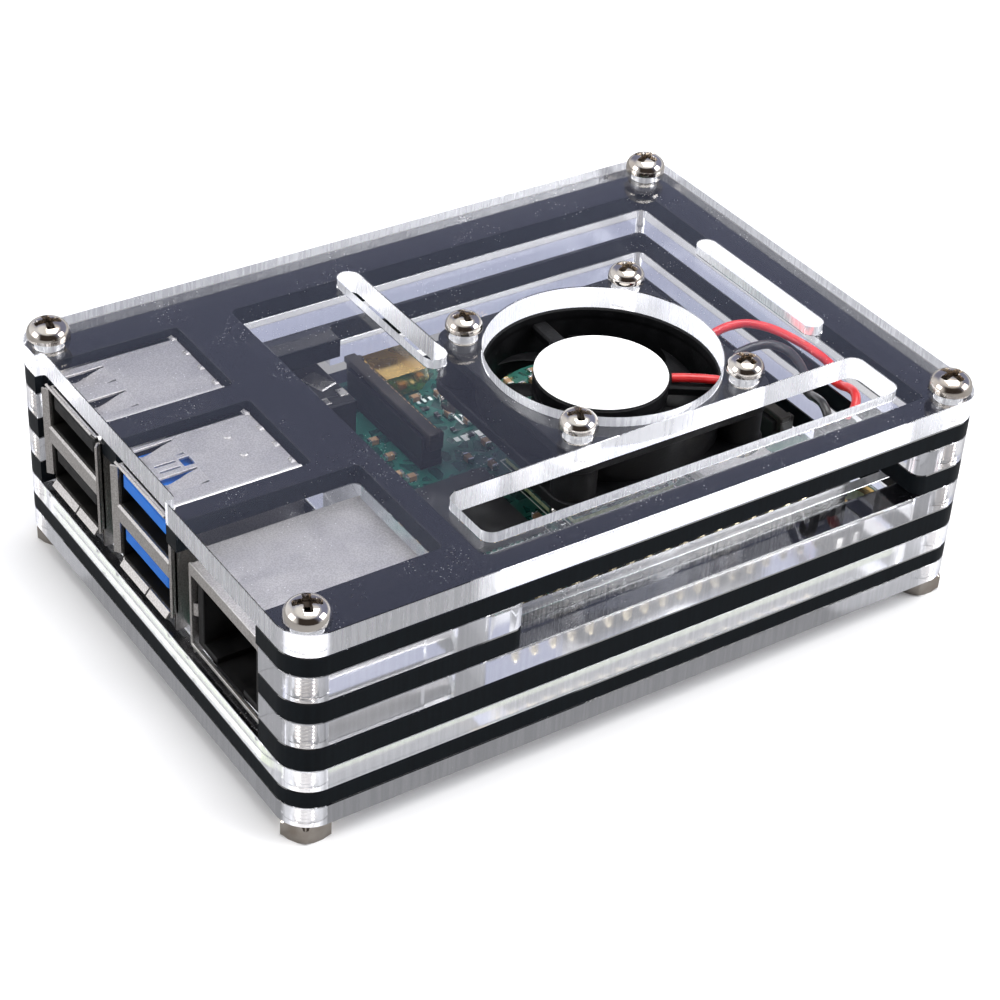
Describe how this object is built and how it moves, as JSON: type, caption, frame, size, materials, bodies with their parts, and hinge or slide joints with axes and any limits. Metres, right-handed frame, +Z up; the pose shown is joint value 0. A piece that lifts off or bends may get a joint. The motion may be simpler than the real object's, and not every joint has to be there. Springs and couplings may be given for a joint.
{
  "type": "single board computer",
  "caption": "Single board computer in a case of stacked clear and black acrylic layers, with a cooling fan under the clear lid.",
  "frame": {"origin": "bottom centre, on the surface that the four nuts under the base plate stand on", "axes": "+Z up; +X along the long side, towards the USB and network sockets; +Y towards the pin header"},
  "size_m": [0.0934, 0.0672, 0.0308],
  "materials": {
    "acrylic_clear": "clear cast acrylic, polished faces, bright laser-cut edges",
    "acrylic_black": "gloss black acrylic",
    "nickel": "polished nickel plating",
    "fan_black": "moulded black plastic",
    "label_white": "matt white label",
    "winding_copper": "lacquered copper wire",
    "wire_red": "satin red insulation",
    "wire_black": "satin black insulation",
    "black_plastic": "moulded black plastic",
    "board_green": "green solder mask",
    "chip_black": "moulded chip package",
    "socket_steel": "satin nickel-plated steel",
    "gold_pins": "gold-plated pins",
    "blue_plastic": "moulded blue plastic",
    "latch_tan": "moulded tan plastic"
  },
  "bodies": {
    "case": {"audio_jack": "black_plastic", "base_plate": "acrylic_clear", "camera_connector": "black_plastic", "card_socket": "socket_steel", "case_nut_1": "nickel", "case_nut_2": "nickel", "case_nut_3": "nickel", "case_nut_4": "nickel", "case_screw_1": "nickel", "case_screw_2": "nickel", "case_screw_3": "nickel", "case_screw_4": "nickel", "circuit_board": "board_green", "display_connector": "black_plastic", "fan_frame": "fan_black", "fan_hub_lead": "wire_red", "fan_label": "label_white", "fan_nut_1": "nickel", "fan_nut_2": "nickel", "fan_nut_3": "nickel", "fan_nut_4": "nickel", "fan_plug_black": "black_plastic", "fan_plug_red": "black_plastic", "fan_screw_1": "nickel", "fan_screw_2": "nickel", "fan_screw_3": "nickel", "fan_screw_4": "nickel", "fan_winding": "winding_copper", "fan_wire_black": "wire_black", "fan_wire_red": "wire_red", "four_pin_header": "gold_pins", "layer_2_black": "acrylic_black", "layer_3_clear": "acrylic_clear", "layer_4_black": "acrylic_black", "layer_5_clear": "acrylic_clear", "layer_6_black": "acrylic_black", "layer_7_clear": "acrylic_clear", "layer_8_black": "acrylic_black", "lid_plate": "acrylic_clear", "memory_chip": "chip_black", "micro_hdmi_socket_1": "socket_steel", "micro_hdmi_socket_2": "socket_steel", "network_chip": "chip_black", "network_insert": "black_plastic", "network_shell": "socket_steel", "pin_header": "gold_pins", "power_chip": "chip_black", "processor": "socket_steel", "usb2_insert": "black_plastic", "usb2_shell": "socket_steel", "usb3_insert": "blue_plastic", "usb3_shell": "socket_steel", "usb_c_socket": "socket_steel", "usb_controller": "chip_black", "wireless_shield": "socket_steel"},
    "rotor": {"fan_rotor": "fan_black", "fan_axle": "nickel"},
    "card": {"memory_card": "chip_black"},
    "camera_latch": {"camera_latch": "latch_tan"},
    "display_latch": {"display_latch": "latch_tan"}
  },
  "joints": [
    {"name": "fan_spin", "type": "hinge", "parent": "case", "child": "rotor", "pos_m": [-0.0124, 0.00356, 0.0214], "axis": [0, 0, 1], "continuous": true},
    {"name": "card_slide", "type": "slide", "parent": "case", "child": "card", "axis": [-1, 0, 0], "range_m": [0, 0.015]},
    {"name": "camera_latch_lift", "type": "slide", "parent": "case", "child": "camera_latch", "axis": [0, 0, 1], "range_m": [0, 0.0012]},
    {"name": "display_latch_lift", "type": "slide", "parent": "case", "child": "display_latch", "axis": [0, 0, 1], "range_m": [0, 0.0012]}
  ]
}
